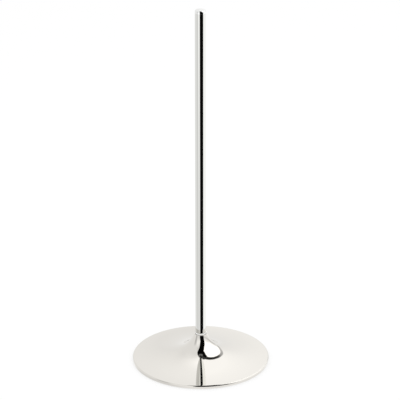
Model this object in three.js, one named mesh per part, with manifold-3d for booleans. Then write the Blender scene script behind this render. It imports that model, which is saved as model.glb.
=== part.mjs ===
// Table-top flag pole stand: a slim chromed pole on a flared, weighted round foot.
// Millimetres, +Z up. The floor is z = 0 and the pole's axis is the Z axis.

import * as THREE from "three";
import { mergeVertices } from "three/addons/utils/BufferGeometryUtils.js";
import Module from "manifold-3d";

const wasm = await Module();
wasm.setup();

// ---------------------------------------------------------------- driving dimensions
const TOTAL_HEIGHT = 350;
const BASE_RADIUS = 65;
const POLE_RADIUS = 5;

const GAP = 0.3; // clearance kept between two pieces that touch
const FINE_SEGMENTS = 48; // round the base
const SMALL_SEGMENTS = 32; // round the pole, its fittings and the fasteners

// base shell: a spun sheet-metal cover
const SHELL_WALL = 1;
const SHELL_LOWER_EDGE_Z = 0.4;
const RIM_TOP_Z = 3.7;
const RIM_EDGE_RADIUS = 1.1;
const HEM_WIDTH = 2.6; // the lower edge is rolled inwards by this much
const FLARE_GAIN = 7.63; // how steeply the flare rises
const FLARE_POWER = 0.858; // how fast its slope falls off with distance from the flare's core
const FLARE_CORE_RADIUS = 3.9;
const FLARE_RIM_SLOPE = 0.027; // slope left where the flare meets the rim
const NECK_RADIUS = 6.4;
const OUTER_FLARE_STEPS = 18;
const INNER_FLARE_STEPS = 12;
const RIM_EDGE_STEPS = 4;

// ballast and pad under the shell
const PAD_THICKNESS = 1.6;
const PAD_RADIUS = 62;
const BALLAST_SHOULDER_RADIUS = 10.5; // the flare's radius over the ballast's top corner
const COUNTERBORE_RADIUS = 9;
const COUNTERBORE_TOP_Z = 12;

// tie stud and its fasteners, M6
const STUD_RADIUS = 3;
const STUD_BOTTOM_Z = 2.4;
const STUD_TOP_Z = 40;
const STUD_CHAMFER = 0.6;
const WASHER_RADIUS = 6;
const WASHER_THICKNESS = 1.6;
const LOCK_WASHER_RADIUS = 5.4;
const LOCK_WASHER_SLOT = 0.9;
const NUT_ACROSS_FLATS = 10;
const NUT_HEIGHT = 5;
const NUT_CHAMFER = 0.8;

// pole and its joint on the foot
const RING_RADIUS = 5.6;
const RING_HEIGHT = 0.8;
const POLE_WALL = 1;
const PLUG_HEAD_HEIGHT = 3.2;
const PLUG_EDGE_RADIUS = 1.4;
const PLUG_EDGE_STEPS = 6;
const PLUG_SHANK_LENGTH = 9;
const INSERT_LENGTH = 17;
const INSERT_SOLID_LENGTH = 4;
const LEAD_CHAMFER = 0.5;

// ---------------------------------------------------------------- the foot's flare
// The flare is a horn: its slope is nearly level at the rim and rises by a power law towards its core.
const FLARE_OUTER_RADIUS = BASE_RADIUS - RIM_EDGE_RADIUS;
const FLARE_REACH = FLARE_OUTER_RADIUS - FLARE_CORE_RADIUS;

function flareSlope(radius) {
  const steepness = (radius - FLARE_CORE_RADIUS) ** -FLARE_POWER - FLARE_REACH ** -FLARE_POWER;
  return FLARE_GAIN * steepness + FLARE_RIM_SLOPE;
}

// The slope's integral from the rim in to radius.
function flareHeight(radius) {
  const power = 1 - FLARE_POWER;
  const run = FLARE_OUTER_RADIUS - radius;
  const rise = (FLARE_REACH ** power - (radius - FLARE_CORE_RADIUS) ** power) / power;
  const levelled = rise - run * FLARE_REACH ** -FLARE_POWER;
  return RIM_TOP_Z + FLARE_GAIN * levelled + FLARE_RIM_SLOPE * run;
}

// The point of the flare at radius, moved inwards by depth along its normal.
function flarePoint(radius, depth) {
  const slope = flareSlope(radius);
  const length = Math.hypot(slope, 1);
  return [radius - (depth * slope) / length, flareHeight(radius) - depth / length];
}

// Points of the flare from the rim in to the radius nearest, closer together as it steepens. The one
// on the rim's edge is left out, because each outline has a corner of its own there.
function flarePoints(nearest, depth, steps) {
  const ratio = (nearest - FLARE_CORE_RADIUS) / FLARE_REACH;
  const points = [];
  for (let i = 1; i <= steps; i++) {
    points.push(flarePoint(FLARE_CORE_RADIUS + FLARE_REACH * ratio ** (i / steps), depth));
  }
  return points;
}

// ---------------------------------------------------------------- derived dimensions
const NECK_TOP_Z = flareHeight(NECK_RADIUS);
const BUSH_TOP_Z = NECK_TOP_Z - GAP;
const POLE_BOTTOM_Z = NECK_TOP_Z + GAP + RING_HEIGHT + GAP;
const PLUG_HEAD_Z = TOTAL_HEIGHT - PLUG_HEAD_HEIGHT;
const POLE_TOP_Z = PLUG_HEAD_Z - GAP;
const POLE_BORE_RADIUS = POLE_RADIUS - POLE_WALL;
const FITTING_RADIUS = POLE_BORE_RADIUS - GAP;
const STUD_HOLE_RADIUS = STUD_RADIUS + GAP;
const SPIGOT_BOTTOM_Z = NECK_TOP_Z + 2 * GAP;
const PAD_TOP_Z = PAD_THICKNESS;
const BALLAST_BOTTOM_Z = PAD_TOP_Z + GAP;
const BALLAST_RADIUS = BASE_RADIUS - SHELL_WALL - GAP;
const BALLAST_DEPTH = SHELL_WALL + GAP; // its top follows the flare at this depth
const BALLAST_TOP_Z = flarePoint(BALLAST_SHOULDER_RADIUS, BALLAST_DEPTH)[1];
const NECK_BORE_RADIUS = NECK_RADIUS - SHELL_WALL;

// ---------------------------------------------------------------- materials
function metal(color, roughness) {
  return new THREE.MeshStandardMaterial({ color, roughness, metalness: 1 });
}

function dull(color, roughness) {
  return new THREE.MeshStandardMaterial({ color, roughness, metalness: 0 });
}

const chrome = metal(0xe6e8ea, 0.04);
const zincSteel = metal(0xb9bcc0, 0.35);
const brass = metal(0xc9a45a, 0.3);
const castIron = metal(0x3c3d3f, 0.7);
const nylon = dull(0xdcdcda, 0.45);
const felt = dull(0x1d1f20, 0.95);

// ---------------------------------------------------------------- helpers
// Revolves [radius, z] points, listed up the outside and back down the inside, about the Z axis.
function revolve(points, segments) {
  const profile = points.map(([radius, z]) => new THREE.Vector2(radius, z));
  const geometry = new THREE.LatheGeometry(profile, segments);
  geometry.rotateX(Math.PI / 2);
  return geometry;
}

// A closed profile: the outline's first point again at its end.
function closed(points) {
  return [...points, points[0]];
}

function mesh(name, geometry, material) {
  const node = new THREE.Mesh(geometry, material);
  node.name = name;
  return node;
}

function toManifold(geometry) {
  const bare = geometry.clone();
  bare.deleteAttribute("normal");
  bare.deleteAttribute("uv");
  const merged = mergeVertices(bare, 1e-4);
  return new wasm.Manifold(
    new wasm.Mesh({
      numProp: 3,
      vertProperties: new Float32Array(merged.attributes.position.array),
      triVerts: new Uint32Array(merged.index.array),
    }),
  );
}

function toGeometry(solid) {
  const result = solid.getMesh();
  const geometry = new THREE.BufferGeometry();
  geometry.setAttribute("position", new THREE.BufferAttribute(result.vertProperties, 3));
  geometry.setIndex(new THREE.BufferAttribute(result.triVerts, 1));
  geometry.computeVertexNormals();
  return geometry;
}

// Points of an arc in the profile plane, from angle start to angle end in degrees.
function arc(centreRadius, centreZ, radius, start, end, steps) {
  const points = [];
  for (let i = 0; i <= steps; i++) {
    const angle = THREE.MathUtils.degToRad(start + ((end - start) * i) / steps);
    points.push([centreRadius + radius * Math.cos(angle), centreZ + radius * Math.sin(angle)]);
  }
  return points;
}

// ---------------------------------------------------------------- sub-parts of the foot
function baseShell() {
  const innerWall = BASE_RADIUS - SHELL_WALL;
  const hemTop = SHELL_LOWER_EDGE_Z + SHELL_WALL;
  const edgeZ = RIM_TOP_Z - RIM_EDGE_RADIUS;
  const outline = [
    [BASE_RADIUS - HEM_WIDTH, SHELL_LOWER_EDGE_Z],
    [BASE_RADIUS - LEAD_CHAMFER, SHELL_LOWER_EDGE_Z],
    [BASE_RADIUS, SHELL_LOWER_EDGE_Z + LEAD_CHAMFER],
    ...arc(FLARE_OUTER_RADIUS, edgeZ, RIM_EDGE_RADIUS, 0, 90, RIM_EDGE_STEPS),
    ...flarePoints(NECK_RADIUS, 0, OUTER_FLARE_STEPS),
    [NECK_BORE_RADIUS, NECK_TOP_Z],
    ...flarePoints(NECK_RADIUS, SHELL_WALL, INNER_FLARE_STEPS).reverse(),
    [innerWall, RIM_TOP_Z - SHELL_WALL],
    [innerWall, hemTop],
    [BASE_RADIUS - HEM_WIDTH, hemTop],
  ];
  return mesh("base_shell", revolve(closed(outline), FINE_SEGMENTS), chrome);
}

function ballast() {
  const hemInside = BASE_RADIUS - HEM_WIDTH - GAP;
  const aboveHem = SHELL_LOWER_EDGE_Z + SHELL_WALL + GAP;
  const outline = [
    [COUNTERBORE_RADIUS, BALLAST_BOTTOM_Z],
    [hemInside, BALLAST_BOTTOM_Z],
    [BALLAST_RADIUS, Math.max(aboveHem, BALLAST_BOTTOM_Z)],
    [BALLAST_RADIUS, RIM_TOP_Z - SHELL_WALL - GAP],
    ...flarePoints(BALLAST_SHOULDER_RADIUS, BALLAST_DEPTH, INNER_FLARE_STEPS),
    [STUD_HOLE_RADIUS, BALLAST_TOP_Z],
    [STUD_HOLE_RADIUS, COUNTERBORE_TOP_Z],
    [COUNTERBORE_RADIUS, COUNTERBORE_TOP_Z],
  ];
  return mesh("ballast_disc", revolve(closed(outline), FINE_SEGMENTS), castIron);
}

function feltPad() {
  const outline = [
    [0, 0],
    [PAD_RADIUS, 0],
    [PAD_RADIUS, PAD_TOP_Z],
    [0, PAD_TOP_Z],
  ];
  return mesh("felt_pad", revolve(outline, FINE_SEGMENTS), felt);
}

function neckBush() {
  const bottom = BALLAST_TOP_Z + GAP;
  const radius = NECK_BORE_RADIUS - GAP;
  const outline = [
    [STUD_HOLE_RADIUS, bottom],
    [radius - LEAD_CHAMFER, bottom],
    [radius, bottom + LEAD_CHAMFER],
    [radius, BUSH_TOP_Z],
    [STUD_HOLE_RADIUS, BUSH_TOP_Z],
  ];
  return mesh("neck_bush", revolve(closed(outline), SMALL_SEGMENTS), zincSteel);
}

// ---------------------------------------------------------------- stud and fasteners
function tieStud() {
  const outline = [
    [0, STUD_BOTTOM_Z],
    [STUD_RADIUS - STUD_CHAMFER, STUD_BOTTOM_Z],
    [STUD_RADIUS, STUD_BOTTOM_Z + STUD_CHAMFER],
    [STUD_RADIUS, STUD_TOP_Z - STUD_CHAMFER],
    [STUD_RADIUS - STUD_CHAMFER, STUD_TOP_Z],
    [0, STUD_TOP_Z],
  ];
  return mesh("tie_stud", revolve(outline, SMALL_SEGMENTS), zincSteel);
}

function washerRing(radius, bottom) {
  const outline = [
    [STUD_HOLE_RADIUS, bottom],
    [radius, bottom],
    [radius, bottom + WASHER_THICKNESS],
    [STUD_HOLE_RADIUS, bottom + WASHER_THICKNESS],
  ];
  return revolve(closed(outline), SMALL_SEGMENTS);
}

// The stack under the ballast, downwards from the counterbore: washer, lock washer, nut.
const WASHER_Z = COUNTERBORE_TOP_Z - GAP - WASHER_THICKNESS;
const LOCK_WASHER_Z = WASHER_Z - GAP - WASHER_THICKNESS;
const NUT_Z = LOCK_WASHER_Z - GAP - NUT_HEIGHT;

function flatWasher() {
  return mesh("flat_washer", washerRing(WASHER_RADIUS, WASHER_Z), zincSteel);
}

function lockWasher() {
  const slot = new THREE.BoxGeometry(LOCK_WASHER_RADIUS, LOCK_WASHER_SLOT, 2 * WASHER_THICKNESS);
  const slotMiddle = (STUD_HOLE_RADIUS + LOCK_WASHER_RADIUS) / 2;
  slot.translate(slotMiddle, 0, LOCK_WASHER_Z + WASHER_THICKNESS / 2);
  const ring = toManifold(washerRing(LOCK_WASHER_RADIUS, LOCK_WASHER_Z));
  return mesh("lock_washer", toGeometry(ring.subtract(toManifold(slot))), zincSteel);
}

function hexNut() {
  const corner = NUT_ACROSS_FLATS / Math.sqrt(3);
  const prism = new THREE.CylinderGeometry(corner, corner, NUT_HEIGHT, 6);
  prism.rotateX(Math.PI / 2);
  prism.translate(0, 0, NUT_Z + NUT_HEIGHT / 2);
  const chamfered = [
    [STUD_HOLE_RADIUS, NUT_Z],
    [corner - NUT_CHAMFER, NUT_Z],
    [corner, NUT_Z + NUT_CHAMFER / 2],
    [corner, NUT_Z + NUT_HEIGHT - NUT_CHAMFER / 2],
    [corner - NUT_CHAMFER, NUT_Z + NUT_HEIGHT],
    [STUD_HOLE_RADIUS, NUT_Z + NUT_HEIGHT],
  ];
  const envelope = toManifold(revolve(closed(chamfered), SMALL_SEGMENTS));
  return mesh("hex_nut", toGeometry(toManifold(prism).intersect(envelope)), zincSteel);
}

// ---------------------------------------------------------------- pole
function spacerRing() {
  const inside = FITTING_RADIUS + GAP;
  const bottom = NECK_TOP_Z + GAP;
  const top = bottom + RING_HEIGHT;
  const outline = [
    [inside, bottom],
    [RING_RADIUS, bottom],
    [RING_RADIUS, top],
    [inside, top],
  ];
  return mesh("spacer_ring", revolve(closed(outline), SMALL_SEGMENTS), nylon);
}

function poleTube() {
  const outline = [
    [POLE_BORE_RADIUS, POLE_BOTTOM_Z],
    [POLE_RADIUS, POLE_BOTTOM_Z],
    [POLE_RADIUS, POLE_TOP_Z],
    [POLE_BORE_RADIUS, POLE_TOP_Z],
  ];
  return mesh("pole_tube", revolve(closed(outline), SMALL_SEGMENTS), chrome);
}

function polePlug() {
  const shankBottom = POLE_TOP_Z - PLUG_SHANK_LENGTH;
  const edgeZ = TOTAL_HEIGHT - PLUG_EDGE_RADIUS;
  const outline = [
    [0, shankBottom],
    [FITTING_RADIUS - LEAD_CHAMFER, shankBottom],
    [FITTING_RADIUS, shankBottom + LEAD_CHAMFER],
    [FITTING_RADIUS, PLUG_HEAD_Z],
    [POLE_RADIUS, PLUG_HEAD_Z],
    ...arc(POLE_RADIUS - PLUG_EDGE_RADIUS, edgeZ, PLUG_EDGE_RADIUS, 0, 90, PLUG_EDGE_STEPS),
    [0, TOTAL_HEIGHT],
  ];
  return mesh("pole_plug", revolve(outline, SMALL_SEGMENTS), chrome);
}

// A threaded insert closed at its top, with a spigot that passes down through the spacer ring.
function poleInsert() {
  const top = POLE_BOTTOM_Z + INSERT_LENGTH;
  const outline = [
    [STUD_HOLE_RADIUS, SPIGOT_BOTTOM_Z],
    [FITTING_RADIUS, SPIGOT_BOTTOM_Z],
    [FITTING_RADIUS, top - LEAD_CHAMFER],
    [FITTING_RADIUS - LEAD_CHAMFER, top],
    [0, top],
    [0, top - INSERT_SOLID_LENGTH],
    [STUD_HOLE_RADIUS, top - INSERT_SOLID_LENGTH],
    [STUD_HOLE_RADIUS, SPIGOT_BOTTOM_Z],
  ];
  return mesh("pole_insert", revolve(outline, SMALL_SEGMENTS), brass);
}

// ---------------------------------------------------------------- assembly
function footAssembly() {
  const foot = new THREE.Group();
  foot.add(baseShell(), ballast(), feltPad(), neckBush());
  foot.add(tieStud(), flatWasher(), lockWasher(), hexNut());
  return foot;
}

function poleAssembly() {
  const pole = new THREE.Group();
  pole.add(spacerRing(), poleTube(), polePlug(), poleInsert());
  return pole;
}

const stand = new THREE.Group();
stand.add(footAssembly(), poleAssembly());

export default stand;
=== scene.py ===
"""Table-top flag pole stand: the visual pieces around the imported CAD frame.

Metres, +Z up, in the frame's own coordinates. The pieces' sizes are in millimetres, and are turned
into metres when a mesh is made. A profile is a list of (radius, z) points about the Z axis, listed up
the outside and back down the inside. A corner of one may have a third number, its fillet radius.
"""

import math

import bpy
from mathutils import Matrix, Vector, noise


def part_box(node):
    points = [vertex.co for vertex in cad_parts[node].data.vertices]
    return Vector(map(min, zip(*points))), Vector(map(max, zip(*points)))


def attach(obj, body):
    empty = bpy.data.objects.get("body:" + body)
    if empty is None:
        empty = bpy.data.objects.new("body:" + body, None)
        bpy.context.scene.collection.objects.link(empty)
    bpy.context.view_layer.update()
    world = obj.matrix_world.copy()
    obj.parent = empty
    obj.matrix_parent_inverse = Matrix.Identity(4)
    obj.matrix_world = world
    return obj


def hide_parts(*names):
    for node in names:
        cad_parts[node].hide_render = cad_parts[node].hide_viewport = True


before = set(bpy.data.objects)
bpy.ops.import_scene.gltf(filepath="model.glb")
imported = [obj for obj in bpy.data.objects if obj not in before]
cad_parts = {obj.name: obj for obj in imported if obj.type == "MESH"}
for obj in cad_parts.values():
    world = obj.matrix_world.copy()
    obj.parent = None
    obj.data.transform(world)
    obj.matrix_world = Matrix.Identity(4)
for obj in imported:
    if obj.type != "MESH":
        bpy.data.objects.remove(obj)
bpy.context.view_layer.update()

MM = 0.001
TAU = 2 * math.pi

# ---------------------------------------------------------------- sizes, in mm


def node_box(name):
    """The lowest and highest corner of a CAD node, in mm."""
    low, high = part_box(name)
    return low / MM, high / MM


SHELL_LOW, SHELL_HIGH = node_box("base_shell")
BALLAST_LOW, BALLAST_HIGH = node_box("ballast_disc")
PAD_LOW, PAD_HIGH = node_box("felt_pad")
BUSH_LOW, BUSH_HIGH = node_box("neck_bush")
STUD_LOW, STUD_HIGH = node_box("tie_stud")
WASHER_LOW, WASHER_HIGH = node_box("flat_washer")
SPRING_LOW, SPRING_HIGH = node_box("lock_washer")
NUT_LOW, NUT_HIGH = node_box("hex_nut")
RING_HIGH = node_box("spacer_ring")[1]
TUBE_LOW, TUBE_HIGH = node_box("pole_tube")
PLUG_LOW, PLUG_HIGH = node_box("pole_plug")
INSERT_LOW, INSERT_HIGH = node_box("pole_insert")

BASE_RADIUS = SHELL_HIGH.x
POLE_RADIUS = TUBE_HIGH.x
RING_RADIUS = RING_HIGH.x
NECK_TOP = SHELL_HIGH.z
POLE_BOTTOM = TUBE_LOW.z

HAIRLINE = 0.02  # the seam left between two finished pieces that touch
CLEARANCE = 0.3  # the gap between two pieces that don't

# the fillet radii that several pieces share
FINE_EDGE = 0.1
CRISP_EDGE = 0.15
BROKEN_EDGE = 0.2
SOFT_EDGE = 0.3
ROUND_EDGE = 0.4

SHELL_WALL = 1.0
RIM_TOP = 3.7
RIM_EDGE_RADIUS = 1.1
RIM_EDGE_STEPS = 14
RIM_DRAFT = math.radians(1.5)  # the rim's wall leans in by this much towards the floor
RIM_SUPPORT = 0.15  # the straight wall kept below the rolled edge, so that it shades evenly
HEM_WIDTH = 2.6
NECK_RADIUS = 6.4

FLARE_GAIN = 7.63
FLARE_POWER = 0.858
FLARE_CORE_RADIUS = 3.9
FLARE_RIM_SLOPE = 0.027
FLARE_OUTER_RADIUS = BASE_RADIUS - RIM_EDGE_RADIUS
FLARE_REACH = FLARE_OUTER_RADIUS - FLARE_CORE_RADIUS
FLARE_STEPS = 150
INNER_FLARE_STEPS = 60
BALLAST_FLARE_STEPS = 70
FLARE_TRIM = 3  # the points left out at an end of the horn, to give its corner's fillet room

BALLAST_SHOULDER_RADIUS = 10.5
BALLAST_DEPTH = SHELL_WALL + CLEARANCE  # how far the casting lies below the shell's outside
BALLAST_SPACING = 1.2  # between two rows of vertices
FELT_ROUND = 0.35
FELT_SPACING = 0.9

PLUG_HEAD_HEIGHT = 3.2
PLUG_EDGE_RADIUS = 1.4
PLUG_EDGE_STEPS = 24
PLUG_HEAD_SUPPORT = 0.1  # the flat kept beside the rounded edge, so that it shades evenly
TUBE_JOINT_EDGE = 0.05  # the fillet on both sides of the hairline below the plug's head
TUBE_SPACING = 12.0
BORE_RADIUS = 4.0
FITTING_RADIUS = INSERT_HIGH.x
HOLE_RADIUS = 3.3
COUNTERBORE_RADIUS = 9.0
COUNTERBORE_TOP = 12.0

THREAD_PITCH = 1.0
THREAD_CREST = 2.97
THREAD_ROOT = 2.47
THREAD_ROWS = 12  # rows of vertices to one pitch
THREAD_FLATNESS = 1.5  # above 1, the thread's wave is cut off into flats
INNER_THREAD_CREST = 3.06
INNER_THREAD_ROOT = 3.42

ROUND_SEGMENTS = 256
FELT_SEGMENTS = 224
CAST_SEGMENTS = 192
NUT_SEGMENTS = 192
POLE_SEGMENTS = 128
SMALL_SEGMENTS = 96
ARC_STEPS = 6
AXIS_TOLERANCE = 1e-6

# ---------------------------------------------------------------- profiles


def flare_slope(radius):
    """How steeply the foot's horn rises at a radius."""
    steepness = (radius - FLARE_CORE_RADIUS) ** -FLARE_POWER - FLARE_REACH**-FLARE_POWER
    return FLARE_GAIN * steepness + FLARE_RIM_SLOPE


def flare_height(radius):
    """The horn's height at a radius: its slope's integral from the rim inwards."""
    power = 1 - FLARE_POWER
    run = FLARE_OUTER_RADIUS - radius
    rise = (FLARE_REACH**power - (radius - FLARE_CORE_RADIUS) ** power) / power
    levelled = rise - run * FLARE_REACH**-FLARE_POWER
    return RIM_TOP + FLARE_GAIN * levelled + FLARE_RIM_SLOPE * run


def flare_points(nearest, depth, steps):
    """Points of the horn from near the rim in to a radius, moved inwards by depth along its normal."""
    ratio = (nearest - FLARE_CORE_RADIUS) / FLARE_REACH
    points = []
    for i in range(1, steps + 1):
        radius = FLARE_CORE_RADIUS + FLARE_REACH * ratio ** (i / steps)
        slope = flare_slope(radius)
        length = math.hypot(slope, 1)
        points.append((radius - depth * slope / length, flare_height(radius) - depth / length))
    return points


def arc(centre_radius, centre_z, radius, start, end, steps):
    """Points of an arc, from angle start to angle end in radians."""
    points = []
    for i in range(steps + 1):
        angle = start + (end - start) * i / steps
        points.append((centre_radius + radius * math.cos(angle), centre_z + radius * math.sin(angle)))
    return points


def fillet(before, corner, after, radius):
    """The points that round one corner, with a support point on the straight part at each side."""
    here = Vector(corner)
    back = Vector(before) - here
    ahead = Vector(after) - here
    half = back.angle(ahead) / 2
    tangent = radius / math.tan(half)
    support = min(0.5 * radius, 0.4 * (min(back.length, ahead.length) - tangent))
    back.normalize()
    ahead.normalize()
    centre = here + (back + ahead).normalized() * radius / math.sin(half)
    start = here + back * tangent - centre
    turn = math.pi - 2 * half
    if back.x * ahead.y - back.y * ahead.x > 0:
        turn = -turn
    points = [tuple(here + back * (tangent + support))]
    for i in range(ARC_STEPS + 1):
        angle = turn * i / ARC_STEPS
        cos, sin = math.cos(angle), math.sin(angle)
        x, y = start.x * cos - start.y * sin, start.x * sin + start.y * cos
        points.append((centre.x + x, centre.y + y))
    points.append(tuple(here + ahead * (tangent + support)))
    return points


def rounded(corners):
    """Rounds a profile's corners. Each is (radius, z) or, to be rounded, (radius, z, fillet radius)."""
    points = []
    count = len(corners)
    for i, corner in enumerate(corners):
        if len(corner) == 2:
            points.append(corner)
            continue
        before = corners[i - 1][:2]
        after = corners[(i + 1) % count][:2]
        points.extend(fillet(before, corner[:2], after, corner[2]))
    return points


def resampled(profile, spacing, looped):
    """The profile with extra points, so that none are further apart than spacing."""
    ends = profile[1:] + ([profile[0]] if looped else [])
    points = []
    for start, end in zip(profile, ends):
        steps = max(1, math.ceil(math.dist(start, end) / spacing))
        for i in range(steps):
            t = i / steps
            points.append((start[0] + (end[0] - start[0]) * t, start[1] + (end[1] - start[1]) * t))
    return points if looped else points + [profile[-1]]


# ---------------------------------------------------------------- meshes


def make_object(name, vertices, faces, material):
    """A smooth-shaded object from vertices in mm."""
    mesh = bpy.data.meshes.new(name)
    mesh.from_pydata([tuple(Vector(v) * MM) for v in vertices], [], faces)
    mesh.validate()
    mesh.shade_smooth()
    mesh.materials.append(material)
    piece = bpy.data.objects.new(name, mesh)
    bpy.context.scene.collection.objects.link(piece)
    return piece


def joined_rows(rows, segments, looped):
    """Faces between neighbouring rows of vertices. A row of one vertex is a point on the axis."""
    pairs = list(zip(rows, rows[1:]))
    if looped:
        pairs.append((rows[-1], rows[0]))
    faces = []
    for lower, upper in pairs:
        if len(lower) == len(upper) == 1:
            continue
        for j in range(segments):
            k = (j + 1) % segments
            if len(lower) == 1:
                faces.append((lower[0], upper[k], upper[j]))
            elif len(upper) == 1:
                faces.append((lower[j], lower[k], upper[0]))
            else:
                faces.append((lower[j], lower[k], upper[k], upper[j]))
    return faces


def revolved(name, profile, material, segments, looped, shape=None):
    """Revolves a profile about Z. shape may move each vertex, given as (radius, angle, z)."""
    vertices = []
    rows = []
    for radius, z in profile:
        on_axis = radius < AXIS_TOLERANCE
        count = 1 if on_axis else segments
        rows.append(list(range(len(vertices), len(vertices) + count)))
        for j in range(count):
            angle = TAU * j / segments
            r, height = shape(radius, angle, z) if shape else (radius, z)
            vertices.append((r * math.cos(angle), r * math.sin(angle), height))
    return make_object(name, vertices, joined_rows(rows, segments, looped), material)


def finish_piece(piece, body, slot, *nodes):
    """Rides a piece on its body, in place of the CAD nodes it stands for."""
    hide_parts(*nodes)
    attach(piece, body)
    return piece


# ---------------------------------------------------------------- node helpers


class Graph:
    """Short calls that add nodes to a tree and return their output sockets."""

    def __init__(self, tree):
        self.tree = tree
        self.nodes = tree.nodes
        self.nodes.clear()

    def add(self, kind, **settings):
        node = self.nodes.new(kind)
        for key, value in settings.items():
            setattr(node, key, value)
        return node

    def put(self, socket, value):
        """Links a socket to an input, or sets a plain value on it."""
        if isinstance(value, bpy.types.NodeSocket):
            self.tree.links.new(value, socket)
        elif value is not None:
            socket.default_value = value

    def math(self, operation, *values):
        node = self.add("ShaderNodeMath", operation=operation)
        for socket, value in zip(node.inputs, values):
            self.put(socket, value)
        return node.outputs[0]

    def vector_math(self, operation, *values):
        node = self.add("ShaderNodeVectorMath", operation=operation)
        for socket, value in zip(node.inputs, values):
            self.put(socket, value)
        return node.outputs[0]

    def ramp(self, value, low, high, to_low=0.0, to_high=1.0, smooth=False):
        """value from low..high to to_low..to_high, clamped."""
        kind = "SMOOTHSTEP" if smooth else "LINEAR"
        node = self.add("ShaderNodeMapRange", interpolation_type=kind, clamp=True)
        for socket, item in zip(node.inputs, (value, low, high, to_low, to_high)):
            self.put(socket, item)
        return node.outputs[0]

    def noise(self, vector, scale, detail=2.0, roughness=0.5):
        node = self.add("ShaderNodeTexNoise")
        self.put(node.inputs["Vector"], vector)
        self.put(node.inputs["Scale"], scale)
        self.put(node.inputs["Detail"], detail)
        self.put(node.inputs["Roughness"], roughness)
        return node.outputs["Fac"]

    def cells(self, vector, scale, feature="F1"):
        node = self.add("ShaderNodeTexVoronoi", feature=feature)
        self.put(node.inputs["Vector"], vector)
        self.put(node.inputs["Scale"], scale)
        return node.outputs["Distance"]

    def blend(self, low, high, amount):
        """A number between two numbers or sockets."""
        node = self.add("ShaderNodeMix", data_type="FLOAT", clamp_factor=True)
        for socket, value in zip(node.inputs[0:1] + node.inputs[2:4], (amount, low, high)):
            self.put(socket, value)
        return node.outputs[0]

    def blend_colour(self, low, high, amount):
        node = self.add("ShaderNodeMix", data_type="RGBA", clamp_factor=True)
        for socket, value in zip(node.inputs[0:1] + node.inputs[6:8], (amount, low, high)):
            self.put(socket, value)
        return node.outputs[2]

    def scaled(self, vector, x, y, z):
        return self.vector_math("MULTIPLY", vector, (x, y, z))

    def bump(self, height, strength, distance):
        node = self.add("ShaderNodeBump")
        self.put(node.inputs["Height"], height)
        self.put(node.inputs["Strength"], strength)
        self.put(node.inputs["Distance"], distance)
        return node.outputs["Normal"]


def new_material(name, **constants):
    """A material, its graph, its shader and its object coordinates in metres."""
    material = bpy.data.materials.new(name)
    material.use_nodes = True
    graph = Graph(material.node_tree)
    shader = graph.add("ShaderNodeBsdfPrincipled")
    output = graph.add("ShaderNodeOutputMaterial")
    graph.put(output.inputs["Surface"], shader.outputs["BSDF"])
    for key, value in constants.items():
        shader.inputs[key.replace("_", " ")].default_value = value
    coordinates = graph.add("ShaderNodeTexCoord").outputs["Object"]
    return material, graph, shader, coordinates


# ---------------------------------------------------------------- materials

# Scales of noise and cells are per metre, bump distances are metres and colours are linear. A chrome's
# two tints vary with its polish. The foot's is slightly warm, and the plug's a little brighter.

BASE_TINT = (0.722, 0.7, 0.66, 1.0)
BASE_DEEP_TINT = (0.711, 0.689, 0.648, 1.0)
BASE_BUFFING = (2600.0, 2600.0, 900.0)
PLUG_TINT = (0.8, 0.802, 0.79, 1.0)
PLUG_DEEP_TINT = (0.785, 0.787, 0.775, 1.0)
PLUG_BUFFING = (1800.0, 1800.0, 4200.0)
POLE_TINT = (0.697, 0.7, 0.676, 1.0)
POLE_DEEP_TINT = (0.687, 0.69, 0.666, 1.0)
POLE_BUFFING = (900.0, 900.0, 4200.0)


def chrome(name, tint, deep_tint, lines):
    """Mirror chrome: polish that varies a little, fine buffing lines and a few hair scratches.

    lines is how closely the buffing lines lie along x, y and z.
    """
    material, graph, shader, place = new_material(name, Metallic=1.0)
    polish = graph.noise(place, 38.0, 4.0, 0.55)
    smudge = graph.ramp(graph.noise(place, 9.0, 3.0), 0.45, 0.7, smooth=True)
    buffing = graph.noise(graph.scaled(place, *lines), 1.0, 3.0, 0.6)
    cracks = graph.cells(graph.scaled(place, 420.0, 90.0, 160.0), 1.0, "DISTANCE_TO_EDGE")
    patch = graph.ramp(graph.noise(place, 26.0), 0.56, 0.68, smooth=True)
    scratch = graph.math("MULTIPLY", graph.ramp(cracks, 0.0, 0.012, 1.0, 0.0), patch)
    roughness = graph.ramp(polish, 0.3, 0.7, 0.012, 0.034)
    roughness = graph.math("MULTIPLY_ADD", smudge, 0.012, roughness)
    roughness = graph.math("MULTIPLY_ADD", buffing, 0.01, roughness)
    roughness = graph.math("MULTIPLY_ADD", scratch, 0.06, roughness)
    graph.put(shader.inputs["Roughness"], roughness)
    graph.put(shader.inputs["Base Color"], graph.blend_colour(deep_tint, tint, polish))
    height = graph.math("MULTIPLY_ADD", scratch, -0.6, buffing)
    graph.put(shader.inputs["Normal"], graph.bump(height, 0.01, 0.000004))
    return material


def zinc_steel():
    """Bright zinc plate: a crystalline bloom, drawn lines and dull spots where it has been handled."""
    material, graph, shader, place = new_material("zinc_steel", Metallic=1.0)
    crystals = graph.cells(place, 900.0)
    bloom = graph.noise(place, 260.0, 4.0, 0.6)
    lines = graph.noise(graph.scaled(place, 900.0, 900.0, 14000.0), 1.0, 2.0)
    tone = graph.math("MULTIPLY_ADD", crystals, 0.35, bloom)
    colour = graph.blend_colour((0.50, 0.51, 0.53, 1.0), (0.74, 0.74, 0.72, 1.0), tone)
    graph.put(shader.inputs["Base Color"], colour)
    graph.put(shader.inputs["Roughness"], graph.ramp(bloom, 0.3, 0.7, 0.24, 0.42))
    height = graph.math("MULTIPLY_ADD", lines, 0.6, crystals)
    graph.put(shader.inputs["Normal"], graph.bump(height, 0.15, 0.00004))
    return material


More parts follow.
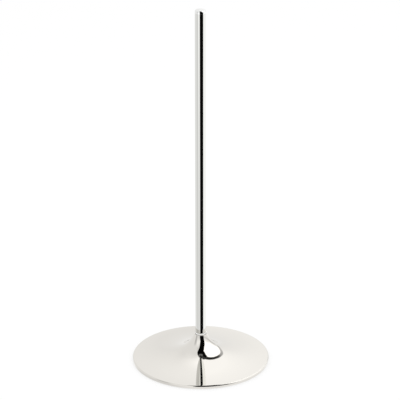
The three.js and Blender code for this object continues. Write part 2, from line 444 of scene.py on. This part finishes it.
def brass():
    """Turned brass: tool lines round the axis and a slight tarnish."""
    material, graph, shader, place = new_material("brass", Metallic=1.0)
    tarnish = graph.noise(place, 180.0, 4.0, 0.6)
    lines = graph.noise(graph.scaled(place, 60.0, 60.0, 9000.0), 1.0, 2.0)
    colour = graph.blend_colour((0.52, 0.35, 0.12, 1.0), (0.83, 0.63, 0.29, 1.0), tarnish)
    graph.put(shader.inputs["Base Color"], colour)
    graph.put(shader.inputs["Roughness"], graph.ramp(tarnish, 0.3, 0.7, 0.36, 0.2))
    graph.put(shader.inputs["Normal"], graph.bump(lines, 0.2, 0.00003))
    return material


def cast_iron():
    """Sand-cast iron with a thin coat of black paint: grainy, with rust starting in the pores."""
    material, graph, shader, place = new_material("cast_iron", Metallic=0.35)
    grain = graph.noise(place, 1500.0, 5.0, 0.65)
    pits = graph.ramp(graph.cells(place, 700.0), 0.0, 0.22, 0.0, 1.0, smooth=True)
    patches = graph.noise(place, 60.0, 4.0, 0.6)
    iron = graph.blend_colour((0.022, 0.022, 0.024, 1.0), (0.075, 0.073, 0.072, 1.0), grain)
    rust = graph.ramp(graph.math("MULTIPLY_ADD", pits, -0.25, patches), 0.45, 0.65, smooth=True)
    colour = graph.blend_colour(iron, (0.13, 0.052, 0.024, 1.0), rust)
    graph.put(shader.inputs["Base Color"], colour)
    graph.put(shader.inputs["Roughness"], graph.ramp(grain, 0.2, 0.8, 0.55, 0.85))
    height = graph.math("MULTIPLY_ADD", pits, 0.5, grain)
    graph.put(shader.inputs["Normal"], graph.bump(height, 0.6, 0.0002))
    return material


def nylon():
    """Pale satin nylon: faint flow marks, fine turning lines and a little grime."""
    radius = (0.001, 0.001, 0.001)
    material, graph, shader, place = new_material(
        "nylon", IOR=1.53, Subsurface_Weight=0.1, Subsurface_Radius=radius
    )
    flow = graph.noise(graph.scaled(place, 90.0, 90.0, 300.0), 1.0, 3.0)
    lines = graph.noise(graph.scaled(place, 40.0, 40.0, 12000.0), 1.0, 2.0)
    colour = graph.blend_colour((0.75, 0.74, 0.72, 1.0), (0.83, 0.825, 0.805, 1.0), flow)
    graph.put(shader.inputs["Base Color"], colour)
    graph.put(shader.inputs["Roughness"], graph.ramp(flow, 0.3, 0.7, 0.42, 0.56))
    graph.put(shader.inputs["Normal"], graph.bump(lines, 0.2, 0.00003))
    return material


def felt():
    """Pressed wool felt: matted fibres in two directions, pale stray hairs and a soft sheen."""
    material, graph, shader, place = new_material("felt", Sheen_Weight=0.35, Sheen_Roughness=0.6)
    warped = graph.vector_math("ADD", place, graph.scaled(place, 0.0, 0.0, 3.0))
    along = graph.noise(graph.scaled(warped, 700.0, 5200.0, 2600.0), 1.0, 4.0, 0.65)
    across = graph.noise(graph.scaled(warped, 5200.0, 700.0, 2600.0), 1.0, 4.0, 0.65)
    fibres = graph.math("MAXIMUM", along, across)
    mottle = graph.noise(place, 160.0, 3.0)
    body = graph.blend_colour((0.006, 0.0065, 0.007, 1.0), (0.03, 0.031, 0.033, 1.0), mottle)
    hairs = graph.ramp(fibres, 0.62, 0.74, smooth=True)
    colour = graph.blend_colour(body, (0.10, 0.10, 0.105, 1.0), hairs)
    graph.put(shader.inputs["Base Color"], colour)
    graph.put(shader.inputs["Roughness"], graph.ramp(mottle, 0.3, 0.7, 0.85, 1.0))
    graph.put(shader.inputs["Normal"], graph.bump(fibres, 0.8, 0.0003))
    return material


# ---------------------------------------------------------------- the foot


def foot_shell(material):
    """The spun and chromed cover: hem, drafted rim, rolled edge, horn and the open neck."""
    wall_centre = (FLARE_OUTER_RADIUS, RIM_TOP - RIM_EDGE_RADIUS)
    edge_end = math.pi / 2 - math.atan(FLARE_RIM_SLOPE)
    edge = arc(*wall_centre, RIM_EDGE_RADIUS, -RIM_DRAFT, edge_end, RIM_EDGE_STEPS)
    lower_radius = edge[0][0] - (edge[0][1] - SHELL_LOW.z) * math.tan(RIM_DRAFT)
    hem_radius = BASE_RADIUS - HEM_WIDTH
    hem_top = SHELL_LOW.z + SHELL_WALL
    inner_wall = BASE_RADIUS - SHELL_WALL
    inner_edge = RIM_EDGE_RADIUS / 2
    support = (edge[0][0] - RIM_SUPPORT * math.tan(RIM_DRAFT), edge[0][1] - RIM_SUPPORT)
    outside = flare_points(NECK_RADIUS, 0, FLARE_STEPS)
    inside = flare_points(NECK_RADIUS, SHELL_WALL, INNER_FLARE_STEPS)
    corners = [
        (hem_radius, SHELL_LOW.z, SOFT_EDGE),
        (lower_radius, SHELL_LOW.z, ROUND_EDGE),
        support,
        *edge,
        *outside[:-1],
        (NECK_RADIUS, NECK_TOP, BROKEN_EDGE),
        (NECK_RADIUS - SHELL_WALL, NECK_TOP, BROKEN_EDGE),
        *reversed(inside[:-FLARE_TRIM]),
        (inner_wall, RIM_TOP - SHELL_WALL, inner_edge),
        (inner_wall, hem_top, BROKEN_EDGE),
        (hem_radius, hem_top, SOFT_EDGE),
    ]
    piece = revolved("foot_shell", rounded(corners), material, ROUND_SEGMENTS, True)
    return finish_piece(piece, "foot", "chrome", "base_shell")


def ballast_casting(material):
    """The cast weight: rounded corners and a grainy skin, sunk a little below its nominal faces."""
    horn = flare_points(BALLAST_SHOULDER_RADIUS, BALLAST_DEPTH, BALLAST_FLARE_STEPS)
    corners = [
        (COUNTERBORE_RADIUS, BALLAST_LOW.z, SOFT_EDGE),
        (BALLAST_HIGH.x, BALLAST_LOW.z, CRISP_EDGE),
        (BALLAST_HIGH.x, RIM_TOP - BALLAST_DEPTH, BROKEN_EDGE),
        *horn[FLARE_TRIM:-FLARE_TRIM],
        (*horn[-1], ROUND_EDGE),
        (HOLE_RADIUS, BALLAST_HIGH.z, SOFT_EDGE),
        (HOLE_RADIUS, COUNTERBORE_TOP, SOFT_EDGE),
        (COUNTERBORE_RADIUS, COUNTERBORE_TOP, ROUND_EDGE),
    ]
    machined_radius = COUNTERBORE_RADIUS + 1  # within it the faces are bored, and smooth
    underside = BALLAST_LOW.z + 0.2
    mean_sink = 0.06
    coarse_scale, coarse_depth = 0.35, 0.04
    fine_scale, fine_depth = 1.3, 0.03

    def grain(radius, angle, z):
        if radius < machined_radius:
            return radius, z
        spot = Vector((radius * math.cos(angle), radius * math.sin(angle), z))
        coarse = noise.noise(spot * coarse_scale)
        fine = noise.noise(spot * fine_scale)
        sink = mean_sink + coarse_depth * coarse + fine_depth * fine
        rise = sink if z < underside else -sink
        return radius - sink, z + rise

    profile = resampled(rounded(corners), BALLAST_SPACING, True)
    piece = revolved("ballast_casting", profile, material, CAST_SEGMENTS, True, grain)
    return finish_piece(piece, "foot", "cast_iron", "ballast_disc")


def felt_base(material):
    """The felt pad: a soft-edged disc whose faces rise and fall with the fibre."""
    corners = [
        (0, PAD_LOW.z),
        (PAD_HIGH.x, PAD_LOW.z, FELT_ROUND),
        (PAD_HIGH.x, PAD_HIGH.z, FELT_ROUND),
        (0, PAD_HIGH.z),
    ]
    middle = (PAD_LOW.z + PAD_HIGH.z) / 2
    side_radius = PAD_HIGH.x - 0.5  # beyond it the nap also moves the cut side
    mean_sink = 0.05
    coarse_scale, coarse_depth = 0.9, 0.05
    fine_scale, fine_depth = 2.7, 0.04
    face_offset = 2  # sets the nap of the two faces apart

    def nap(radius, angle, z):
        spot = Vector((radius * math.cos(angle), radius * math.sin(angle), z * face_offset))
        coarse = noise.noise(spot * coarse_scale)
        fine = noise.noise(spot * fine_scale)
        sink = max(0, mean_sink + coarse_depth * coarse + fine_depth * fine)
        inwards = sink if radius > side_radius else 0
        return radius - inwards, z + sink if z < middle else z - sink

    profile = resampled(rounded(corners), FELT_SPACING, False)
    piece = revolved("felt_base", profile, material, FELT_SEGMENTS, False, nap)
    return finish_piece(piece, "foot", "felt", "felt_pad")


def bush_sleeve(material):
    """The turned steel bush that centres the stud in the neck."""
    lead_in = 0.45
    corners = [
        (HOLE_RADIUS, BUSH_LOW.z, BROKEN_EDGE),
        (BUSH_HIGH.x, BUSH_LOW.z, lead_in),
        (BUSH_HIGH.x, BUSH_HIGH.z, SOFT_EDGE),
        (HOLE_RADIUS, BUSH_HIGH.z, SOFT_EDGE),
    ]
    piece = revolved("bush_sleeve", rounded(corners), material, SMALL_SEGMENTS, True)
    return finish_piece(piece, "foot", "zinc_steel", "neck_bush")


# ---------------------------------------------------------------- stud and fasteners


def thread_radius(angle, z, crest, root):
    """The radius of a single-start right-hand thread with flats at its crest and root."""
    phase = z / THREAD_PITCH - angle / TAU
    wave = THREAD_FLATNESS * math.cos(TAU * phase)
    share = (max(-1, min(1, wave)) + 1) / 2
    return root + (crest - root) * share


def stud(material):
    """The M6 tie stud, threaded all the way, with a chamfered end each side."""
    chamfer = 0.7
    length = STUD_HIGH.z - STUD_LOW.z
    rows = round(length / THREAD_PITCH * THREAD_ROWS)
    side = [(THREAD_CREST, STUD_LOW.z + length * i / rows) for i in range(rows + 1)]
    flat = THREAD_CREST - chamfer
    profile = [(0, STUD_LOW.z), (flat / 2, STUD_LOW.z), *side, (flat / 2, STUD_HIGH.z), (0, STUD_HIGH.z)]

    def cut(radius, angle, z):
        if radius < THREAD_CREST:
            return radius, z
        limit = flat + min(z - STUD_LOW.z, STUD_HIGH.z - z)
        return min(limit, thread_radius(angle, z, THREAD_CREST, THREAD_ROOT)), z

    piece = revolved("stud_m6", profile, material, SMALL_SEGMENTS, False, cut)
    return finish_piece(piece, "foot", "zinc_steel", "tie_stud")


def washer_flat(material):
    """A plain stamped washer: crisp where the punch left it, and rounded where it went in."""
    exit_edge, rim_entry, hole_entry = 0.12, 0.35, 0.25
    corners = [
        (HOLE_RADIUS, WASHER_LOW.z, exit_edge),
        (WASHER_HIGH.x, WASHER_LOW.z, exit_edge),
        (WASHER_HIGH.x, WASHER_HIGH.z, rim_entry),
        (HOLE_RADIUS, WASHER_HIGH.z, hole_entry),
    ]
    piece = revolved("washer_flat", rounded(corners), material, SMALL_SEGMENTS, True)
    return finish_piece(piece, "foot", "zinc_steel", "flat_washer")


def washer_spring(material):
    """A split spring washer: a rounded square section wound almost once round, its ends apart."""
    lift = 0.2  # how much higher one end lies than the other
    height = SPRING_HIGH.z - SPRING_LOW.z - lift
    section = rounded(
        [
            (HOLE_RADIUS, 0, BROKEN_EDGE),
            (SPRING_HIGH.x, 0, BROKEN_EDGE),
            (SPRING_HIGH.x, height, BROKEN_EDGE),
            (HOLE_RADIUS, height, BROKEN_EDGE),
        ]
    )
    steps = 84
    slot_angle = math.radians(12)
    cut_lean = math.radians(6)  # the slot is sawn at a slant
    vertices = []
    for i in range(steps + 1):
        share = i / steps
        for radius, z in section:
            lean = cut_lean * (z / height - 0.5)
            angle = slot_angle / 2 + (TAU - slot_angle) * share + lean
            rise = SPRING_LOW.z + lift * share
            vertices.append((radius * math.cos(angle), radius * math.sin(angle), z + rise))
    size = len(section)
    last = steps * size
    first_middle = len(vertices)  # each cut end is a fan of triangles round its middle
    for start in (0, last):
        end_corners = vertices[start : start + size]
        vertices.append(tuple(sum(axis) / size for axis in zip(*end_corners)))
    faces = []
    for j in range(size):
        k = (j + 1) % size
        faces.append((j, k, first_middle))
        faces.append((last + k, last + j, first_middle + 1))
        for i in range(steps):
            lower, upper = i * size, (i + 1) * size
            faces.append((lower + j, upper + j, upper + k, lower + k))
    piece = make_object("washer_spring", vertices, faces, material)
    return finish_piece(piece, "foot", "zinc_steel", "lock_washer")


def hex_radius(angle, across_flats):
    """The radius of a hexagon at an angle. Like the CAD nut, it has a corner on +Y."""
    turn = (angle - math.pi / 2) % (math.pi / 3) - math.pi / 6
    return across_flats / 2 / math.cos(turn)


def nut(material):
    """The M6 nut: flats, a turned chamfer on both faces and an internal thread."""
    across = NUT_HIGH.x - NUT_LOW.x
    corner = across / math.sqrt(3)
    chamfer_depth = 0.5
    chamfer_steps = 10
    bearing_radius = 0.95 * across / 2  # the turned chamfer starts just inside the flats
    low, high = NUT_LOW.z, NUT_HIGH.z
    rises = [chamfer_depth * i / chamfer_steps for i in range(1, chamfer_steps + 1)]
    ramp_up = [low + rise for rise in rises]
    ramp_down = [high - rise for rise in reversed(rises)]
    outer = [(corner, z) for z in [low, *ramp_up, *ramp_down, high]]
    rows = round((high - low) / THREAD_PITCH * THREAD_ROWS)
    bore = [(INNER_THREAD_ROOT, high - (high - low) * i / rows) for i in range(rows + 1)]
    faces_radius = (bearing_radius + INNER_THREAD_ROOT) / 2
    profile = [(faces_radius, low), *outer, (faces_radius, high), *bore]

    def cut(radius, angle, z):
        if radius == corner:
            depth = min(z - low, high - z)
            cone = bearing_radius + depth * (corner - bearing_radius) / chamfer_depth
            return min(cone, hex_radius(angle, across)), z
        if radius == INNER_THREAD_ROOT:
            return thread_radius(angle, z, INNER_THREAD_CREST, INNER_THREAD_ROOT), z
        return radius, z

    piece = revolved("nut_m6", profile, material, NUT_SEGMENTS, True, cut)
    return finish_piece(piece, "foot", "zinc_steel", "hex_nut")


# ---------------------------------------------------------------- the pole


def collar(material):
    """The nylon ring between the neck and the pole, its edges just broken."""
    low, high = NECK_TOP + HAIRLINE, POLE_BOTTOM - HAIRLINE
    upper_edge = 0.25
    corners = [
        (BORE_RADIUS, low, CRISP_EDGE),
        (RING_RADIUS, low, BROKEN_EDGE),
        (RING_RADIUS, high, upper_edge),
        (BORE_RADIUS, high, CRISP_EDGE),
    ]
    piece = revolved("collar_ring", rounded(corners), material, POLE_SEGMENTS, True)
    return finish_piece(piece, "ring", "nylon", "spacer_ring")


def pole_tube(material):
    """The drawn and polished tube. It meets the cap and the ring at hairline seams."""
    top = PLUG_HIGH.z - PLUG_HEAD_HEIGHT - HAIRLINE
    corners = [
        (BORE_RADIUS, POLE_BOTTOM, BROKEN_EDGE),
        (POLE_RADIUS, POLE_BOTTOM, CRISP_EDGE),
        (POLE_RADIUS, top, TUBE_JOINT_EDGE),
        (BORE_RADIUS, top, BROKEN_EDGE),
    ]
    profile = resampled(rounded(corners), TUBE_SPACING, True)
    piece = revolved("mast_tube", profile, material, POLE_SEGMENTS, True)
    return finish_piece(piece, "pole", "chrome", "pole_tube")


def pole_cap(material):
    """The plug that closes the pole: a rounded head on a shank with a glue groove."""
    head = PLUG_HIGH.z - PLUG_HEAD_HEIGHT
    edge_z = PLUG_HIGH.z - PLUG_EDGE_RADIUS
    face_radius = POLE_RADIUS - PLUG_EDGE_RADIUS
    edge = arc(face_radius, edge_z, PLUG_EDGE_RADIUS, 0, math.pi / 2, PLUG_EDGE_STEPS)
    lead_in = 0.5
    groove_depth = 0.3
    groove_radius = FITTING_RADIUS - groove_depth
    groove_low, groove_high = PLUG_LOW.z + 3, PLUG_LOW.z + 5
    corners = [
        (0, PLUG_LOW.z),
        (FITTING_RADIUS, PLUG_LOW.z, lead_in),
        (FITTING_RADIUS, groove_low, FINE_EDGE),
        (groove_radius, groove_low + groove_depth, FINE_EDGE),
        (groove_radius, groove_high - groove_depth, FINE_EDGE),
        (FITTING_RADIUS, groove_high, FINE_EDGE),
        (FITTING_RADIUS, head, FINE_EDGE),
        (POLE_RADIUS, head, TUBE_JOINT_EDGE),
        (POLE_RADIUS, edge_z - PLUG_HEAD_SUPPORT),
        *edge,
        (face_radius - PLUG_HEAD_SUPPORT, PLUG_HIGH.z),
        (0, PLUG_HIGH.z),
    ]
    piece = revolved("mast_cap", rounded(corners), material, POLE_SEGMENTS, False)
    return finish_piece(piece, "pole", "chrome", "pole_plug")


def pole_insert(material):
    """The brass insert: glue grooves outside, a thread inside, closed at its top."""
    low, high = INSERT_LOW.z, INSERT_HIGH.z
    groove_count, first_groove, groove_spacing = 4, 5.5, 3
    groove_slope, groove_width, groove_edge = 0.3, 1.3, 0.08
    groove_radius = FITTING_RADIUS - 0.25
    grooves = []
    for i in range(groove_count):
        z = low + first_groove + groove_spacing * i
        grooves += [
            (FITTING_RADIUS, z, groove_edge),
            (groove_radius, z + groove_slope, groove_edge),
            (groove_radius, z + groove_width - groove_slope, groove_edge),
            (FITTING_RADIUS, z + groove_width, groove_edge),
        ]
    lead_in = 0.5
    outside = rounded(
        [
            (INNER_THREAD_ROOT, low),
            (FITTING_RADIUS, low, FINE_EDGE),
            *grooves,
            (FITTING_RADIUS, high, lead_in),
            (0, high),
        ]
    )
    closed_length = 4.0
    bore_top = high - closed_length
    rows = round((bore_top - low) / THREAD_PITCH * THREAD_ROWS)
    bore = [(INNER_THREAD_ROOT, bore_top - (bore_top - low) * i / rows) for i in range(rows)]
    drill_point = (1.6, bore_top)
    profile = [*outside[1:], (0, bore_top), drill_point, *bore, outside[0]]

    def cut(radius, angle, z):
        if radius != INNER_THREAD_ROOT:
            return radius, z
        return thread_radius(angle, z, INNER_THREAD_CREST, INNER_THREAD_ROOT), z

    piece = revolved("mast_insert", profile, material, SMALL_SEGMENTS, True, cut)
    return finish_piece(piece, "pole", "brass", "pole_insert")


# ---------------------------------------------------------------- studio

# Azimuth is 0 towards the viewer and grows to the right. Both angles are in degrees. Tones are what the
# chrome shows on a display, 1 being white. A list of pairs is an angle and the value there.

CHROME_REFLECTANCE = 0.715  # of the polished foot, seen from the viewer's height
TONE_OFFSET = 0.055  # with the exponent, the usual display curve
TONE_EXPONENT = 2.4

LEFT_TONE = 0.862
RIGHT_TONE = 1.06
SEAM_TONE = 0.14
DARK_TONE = 0.02
BEHIND_LIFT = 0.18
OVERHEAD_TONE = 0.4
SWEEP_TONE = 0.885
SWEEP_LEFT_TONE = 0.82
SWEEP_EDGE = -27.0  # the elevation where the pale sweep gives way to the walls

DOME_LOW = 1.1
DOME_HIGH = 1.16
GROUND_TONE = 1.0
GROUND_RADIUS = 6.0  # metres
GROUND_SEGMENTS = 64
FLOOR_GREY = 0.83
FLOOR_GLOW = 0.65  # the share of the floor's light that no shadow takes away


def piecewise(graph, value, points):
    """A socket that follows straight lines between points, held level beyond their ends."""
    total = points[0][1]
    for (x0, y0), (x1, y1) in zip(points, points[1:]):
        total = graph.math("ADD", graph.ramp(value, x0, x1, 0.0, y1 - y0), total)
    return total


def above(graph, value, edge, softness):
    """0 below an edge and 1 above it, turning smoothly. The edge may be a socket."""
    distance = graph.math("SUBTRACT", value, edge)
    return graph.ramp(distance, -softness, softness, smooth=True)


def window(graph, value, low, high, softness):
    """1 between two edges and 0 outside them."""
    beyond = graph.math("SUBTRACT", 1.0, above(graph, value, high, softness))
    return graph.math("MULTIPLY", above(graph, value, low, softness), beyond)


def left_wall(graph, azimuth, elevation):
    """The long softbox on the left: brighter towards the back and dimmer beside its front edge."""
    back = graph.ramp(azimuth, -145.0, -182.0)
    gain_points = [(20, 0.006), (27, 0.036), (34, 0.062), (45, 0.085), (60, 0.1)]
    gain = piecewise(graph, elevation, gain_points)
    tone = graph.math("MULTIPLY_ADD", back, gain, LEFT_TONE)
    high = graph.ramp(elevation, 42.0, 64.0, 0.0, 0.045, smooth=True)
    tone = graph.math("MULTIPLY_ADD", high, graph.ramp(azimuth, -110.0, -150.0), tone)
    depth_points = [(-20, 0.06), (-5, 0.12), (5, 0.16), (20, 0.15), (33, 0.11), (44, 0)]
    depth = piecewise(graph, elevation, depth_points)
    dip = graph.math("MULTIPLY", window(graph, azimuth, -76, -53, 6.0), depth)
    edge_points = [
        *[(-24, 0.86), (-18, 0.95), (-6, 0.93), (8, 0.82)],
        *[(26, 0.915), (36, 0.935), (50, 0.88), (62, 0.81)],
    ]
    edge_tone = piecewise(graph, elevation, edge_points)
    tone = graph.math("SUBTRACT", tone, dip)
    return graph.blend(tone, edge_tone, above(graph, azimuth, -50.0, 5.0))


def right_wall(graph, azimuth, elevation):
    """The square softbox on the right, its lit stand below it, and the back wall past a dark seam."""
    low_points = [(-14, 0.965), (-6, 0.9), (4, 0.87), (13, 0.88), (20, 0.93)]
    low = piecewise(graph, elevation, low_points)
    line_height = piecewise(graph, azimuth, [(60, 10), (126, 7), (150, 6), (158, 4), (180, -8)])
    line_depth = piecewise(graph, azimuth, [(95, 0.08), (122, 0.16), (152, 0.16), (162, 0.08)])
    off_line = graph.math("ABSOLUTE", graph.math("SUBTRACT", elevation, line_height))
    line = graph.math("MULTIPLY", graph.ramp(off_line, 4.5, 1.0, smooth=True), line_depth)
    low = graph.math("SUBTRACT", low, line)
    lower_edge = piecewise(graph, azimuth, [(85, 25), (115, 17)])
    tone = graph.blend(low, RIGHT_TONE, above(graph, elevation, lower_edge, 4.5))
    back_points = [(-10, 0.853), (5, 0.868), (20, 0.905), (30, 0.945), (42, 0.975)]
    back_tone = piecewise(graph, elevation, back_points)
    return graph.blend(tone, back_tone, above(graph, azimuth, 151.5, 2.0))


def seam(graph, azimuth, elevation):
    """How far the seam between softbox and back wall darkens: a narrow band, widest at its top."""
    centre_points = [
        *[(8, 154.5), (22, 150.5), (36, 149.8), (46, 148)],
        *[(54, 147.5), (70, 149.5)],
    ]
    width_points = [
        *[(8, 2.2), (30, 2.6), (42, 3.0), (54, 4.2)],
        *[(60, 5.8), (66, 8.5), (72, 13.0)],
    ]
    strength_points = [
        *[(6, 0.0), (10, 0.2), (22, 0.3), (32, 0.39)],
        *[(42, 0.49), (47, 0.78), (54, 1.0)],
    ]
    centre = piecewise(graph, elevation, centre_points)
    half_width = piecewise(graph, elevation, width_points)
    strength = piecewise(graph, elevation, strength_points)
    off_centre = graph.math("ABSOLUTE", graph.math("SUBTRACT", azimuth, centre))
    inside = above(graph, graph.math("SUBTRACT", half_width, off_centre), 0.0, 1.2)
    return graph.math("MULTIPLY", inside, strength)


def front_gap(graph, azimuth, elevation):
    """1 inside the dark gap between the two softboxes, where the camera stands."""
    left_points = [
        *[(-27, -10.5), (-22, -8.5), (-18, -11), (14, -13), (22, -9), (30, -5.5)],
        *[(38, -8.5), (48, -12), (58, -17), (67, -29), (72, -46)],
    ]
    right_points = [
        *[(-27, 57), (-18, 64.5), (-6, 52), (9, 46), (20, 46)],
        *[(26, 48.5), (38, 48.5), (46, 45.5), (56, 41.5), (70, 44.5)],
    ]
    softness = 1.2
    past_left = above(graph, azimuth, piecewise(graph, elevation, left_points), softness)
    past_right = above(graph, azimuth, piecewise(graph, elevation, right_points), softness)
    return graph.math("MULTIPLY", past_left, graph.math("SUBTRACT", 1.0, past_right))


def dark_top(graph, azimuth, elevation):
    """1 above the softboxes' upper edges."""
    edge_points = [
        *[(-180, 74), (-157, 80.2), (-130, 82.2), (-100, 81.3), (-80, 79.8), (-63, 76.5)],
        *[(-46, 73), (40, 69.3), (50, 73), (70, 75.3), (90, 76.6), (110, 76.2)],
        *[(136, 72.2), (150, 70), (166, 70.5), (180, 74)],
    ]
    return above(graph, elevation, piecewise(graph, azimuth, edge_points), 1.5)


def dark_tone(graph, azimuth, elevation):
    """The dark parts' own tone: near black, a little lighter behind the right softbox and overhead."""
    behind = graph.math("MULTIPLY", window(graph, azimuth, 146, 178, 4.0), BEHIND_LIFT)
    overhead_points = [(40, 87.5), (100, 84.5), (150, 82.5), (180, 81.5)]
    overhead_edge = piecewise(graph, graph.math("ABSOLUTE", azimuth), overhead_points)
    overhead = above(graph, elevation, overhead_edge, 1.5)
    return graph.blend(graph.math("ADD", behind, DARK_TONE), OVERHEAD_TONE, overhead)


def studio_tone(graph, azimuth, elevation):
    """What the chrome mirrors: two softboxes, a dark gap in front and a dark top."""
    left = left_wall(graph, azimuth, elevation)
    right = right_wall(graph, azimuth, elevation)
    sky = graph.blend(left, right, above(graph, azimuth, 15.0, 4.0))
    sky = graph.blend(sky, SEAM_TONE, seam(graph, azimuth, elevation))
    gap = front_gap(graph, azimuth, elevation)
    dark = graph.math("MAXIMUM", gap, dark_top(graph, azimuth, elevation))
    return graph.blend(sky, dark_tone(graph, azimuth, elevation), dark)


def sweep_tone(graph, azimuth):
    """The pale sweep below, a little dimmer at the left."""
    return graph.blend(SWEEP_TONE, SWEEP_LEFT_TONE, window(graph, azimuth, -140, -40, 20.0))


def light_from_tone(graph, tone):
    """The light that chrome shows as a display tone."""
    raised = graph.math("ADD", tone, TONE_OFFSET)
    curved = graph.math("POWER", graph.math("DIVIDE", raised, 1 + TONE_OFFSET), TONE_EXPONENT)
    return graph.math("DIVIDE", curved, CHROME_REFLECTANCE)


def make_world():
    """Camera rays see a plain pale ground, mirrors see the studio, and all else an even soft dome."""
    world = bpy.data.worlds.new("studio")
    bpy.context.scene.world = world
    world.use_nodes = True
    world.cycles.sampling_method = "NONE"
    graph = Graph(world.node_tree)
    direction = graph.add("ShaderNodeTexCoord").outputs["Generated"]
    split = graph.add("ShaderNodeSeparateXYZ")
    graph.put(split.inputs[0], direction)
    x, y, z = split.outputs
    azimuth = graph.math("DEGREES", graph.math("ARCTAN2", x, graph.math("MULTIPLY", y, -1.0)))
    elevation = graph.math("DEGREES", graph.math("ARCSINE", z))
    tone = graph.blend(
        sweep_tone(graph, azimuth),
        studio_tone(graph, azimuth, elevation),
        above(graph, elevation, SWEEP_EDGE, 0.8),
    )
    sky = light_from_tone(graph, tone)
    rays = graph.add("ShaderNodeLightPath")
    dome = graph.ramp(z, -1.0, 1.0, DOME_LOW, DOME_HIGH)
    seen = graph.blend(dome, sky, rays.outputs["Is Glossy Ray"])
    seen = graph.blend(seen, GROUND_TONE, rays.outputs["Is Camera Ray"])
    background = graph.add("ShaderNodeBackground")
    graph.put(background.inputs["Strength"], seen)
    background.inputs["Color"].default_value = (1.0, 1.0, 1.0, 1.0)
    output = graph.add("ShaderNodeOutputWorld")
    graph.put(output.inputs["Surface"], background.outputs[0])


def floor_material():
    """Pale and matt, mostly self-lit so that shadows stay faint, and clear when seen from below."""
    grey = (FLOOR_GREY, FLOOR_GREY, FLOOR_GREY, 1.0)
    material, graph, shader, _ = new_material(
        "floor", Base_Color=grey, Roughness=1.0, Specular_IOR_Level=0.0
    )
    pale = graph.add("ShaderNodeMixShader")
    pale.inputs[0].default_value = FLOOR_GLOW
    graph.put(pale.inputs[1], shader.outputs[0])
    graph.put(pale.inputs[2], graph.add("ShaderNodeEmission").outputs[0])
    clear = graph.add("ShaderNodeBsdfTransparent")
    two_sided = graph.add("ShaderNodeMixShader")
    graph.put(two_sided.inputs[0], graph.add("ShaderNodeNewGeometry").outputs["Backfacing"])
    graph.put(two_sided.inputs[1], pale.outputs[0])
    graph.put(two_sided.inputs[2], clear.outputs[0])
    output = next(node for node in graph.nodes if node.type == "OUTPUT_MATERIAL")
    graph.put(output.inputs["Surface"], two_sided.outputs[0])
    return material


def make_floor():
    """A plain pale floor with only a faint shadow, which mirrors don't see."""
    rim = []
    for i in range(GROUND_SEGMENTS):
        angle = TAU * i / GROUND_SEGMENTS
        rim.append((GROUND_RADIUS * math.cos(angle), GROUND_RADIUS * math.sin(angle), 0))
    mesh = bpy.data.meshes.new("floor")
    mesh.from_pydata(rim, [], [tuple(range(GROUND_SEGMENTS))])
    mesh.materials.append(floor_material())
    floor = bpy.data.objects.new("floor", mesh)
    bpy.context.scene.collection.objects.link(floor)
    floor.visible_glossy = False


# ---------------------------------------------------------------- light and camera

# Places and distances are in metres, the lens and its sensor in mm, and the power in watts.

LIGHT_SIZE = 1.6
LIGHT_POWER = 6.0
LIGHT_PLACE = (0.5, -0.6, 1.9)

CAMERA_PLACE = (-0.00048, -2.02084, 1.00384)
CAMERA_PITCH = math.radians(22.5595)
CAMERA_ROLL = math.radians(-0.09)
CAMERA_LENS = 211.45
CAMERA_SENSOR = 36.0
CAMERA_NEAR = 0.1
CAMERA_FAR = 50.0


def make_light():
    """One large soft light overhead, which the chrome doesn't mirror."""
    data = bpy.data.lights.new("overhead", "AREA")
    data.shape = "DISK"
    data.size = LIGHT_SIZE
    data.energy = LIGHT_POWER
    light = bpy.data.objects.new("overhead", data)
    light.location = LIGHT_PLACE
    light.rotation_euler = (-Vector(LIGHT_PLACE)).to_track_quat("-Z", "Y").to_euler()
    light.visible_glossy = False
    light.visible_camera = False
    bpy.context.scene.collection.objects.link(light)


def make_camera():
    """The viewpoint: in front of the stand, looking down on its foot through a long lens."""
    data = bpy.data.cameras.new("camera")
    data.sensor_width = CAMERA_SENSOR
    data.lens = CAMERA_LENS
    data.clip_start = CAMERA_NEAR
    data.clip_end = CAMERA_FAR
    camera = bpy.data.objects.new("camera", data)
    tilt = Matrix.Rotation(math.pi / 2 - CAMERA_PITCH, 4, "X")
    roll = Matrix.Rotation(CAMERA_ROLL, 4, "Z")
    camera.matrix_world = Matrix.Translation(CAMERA_PLACE) @ tilt @ roll
    bpy.context.scene.collection.objects.link(camera)
    bpy.context.scene.camera = camera


# ---------------------------------------------------------------- everything together

make_camera()
make_world()
make_floor()
make_light()
bpy.context.scene.view_settings.view_transform = "Standard"

base_chrome = chrome("chrome_base", BASE_TINT, BASE_DEEP_TINT, BASE_BUFFING)
plug_chrome = chrome("chrome_plug", PLUG_TINT, PLUG_DEEP_TINT, PLUG_BUFFING)
pole_chrome = chrome("chrome_pole", POLE_TINT, POLE_DEEP_TINT, POLE_BUFFING)
zinc = zinc_steel()

foot_shell(base_chrome)
ballast_casting(cast_iron())
felt_base(felt())
bush_sleeve(zinc)
stud(zinc)
washer_flat(zinc)
washer_spring(zinc)
nut(zinc)
collar(nylon())
pole_tube(pole_chrome)
pole_cap(plug_chrome)
pole_insert(brass())
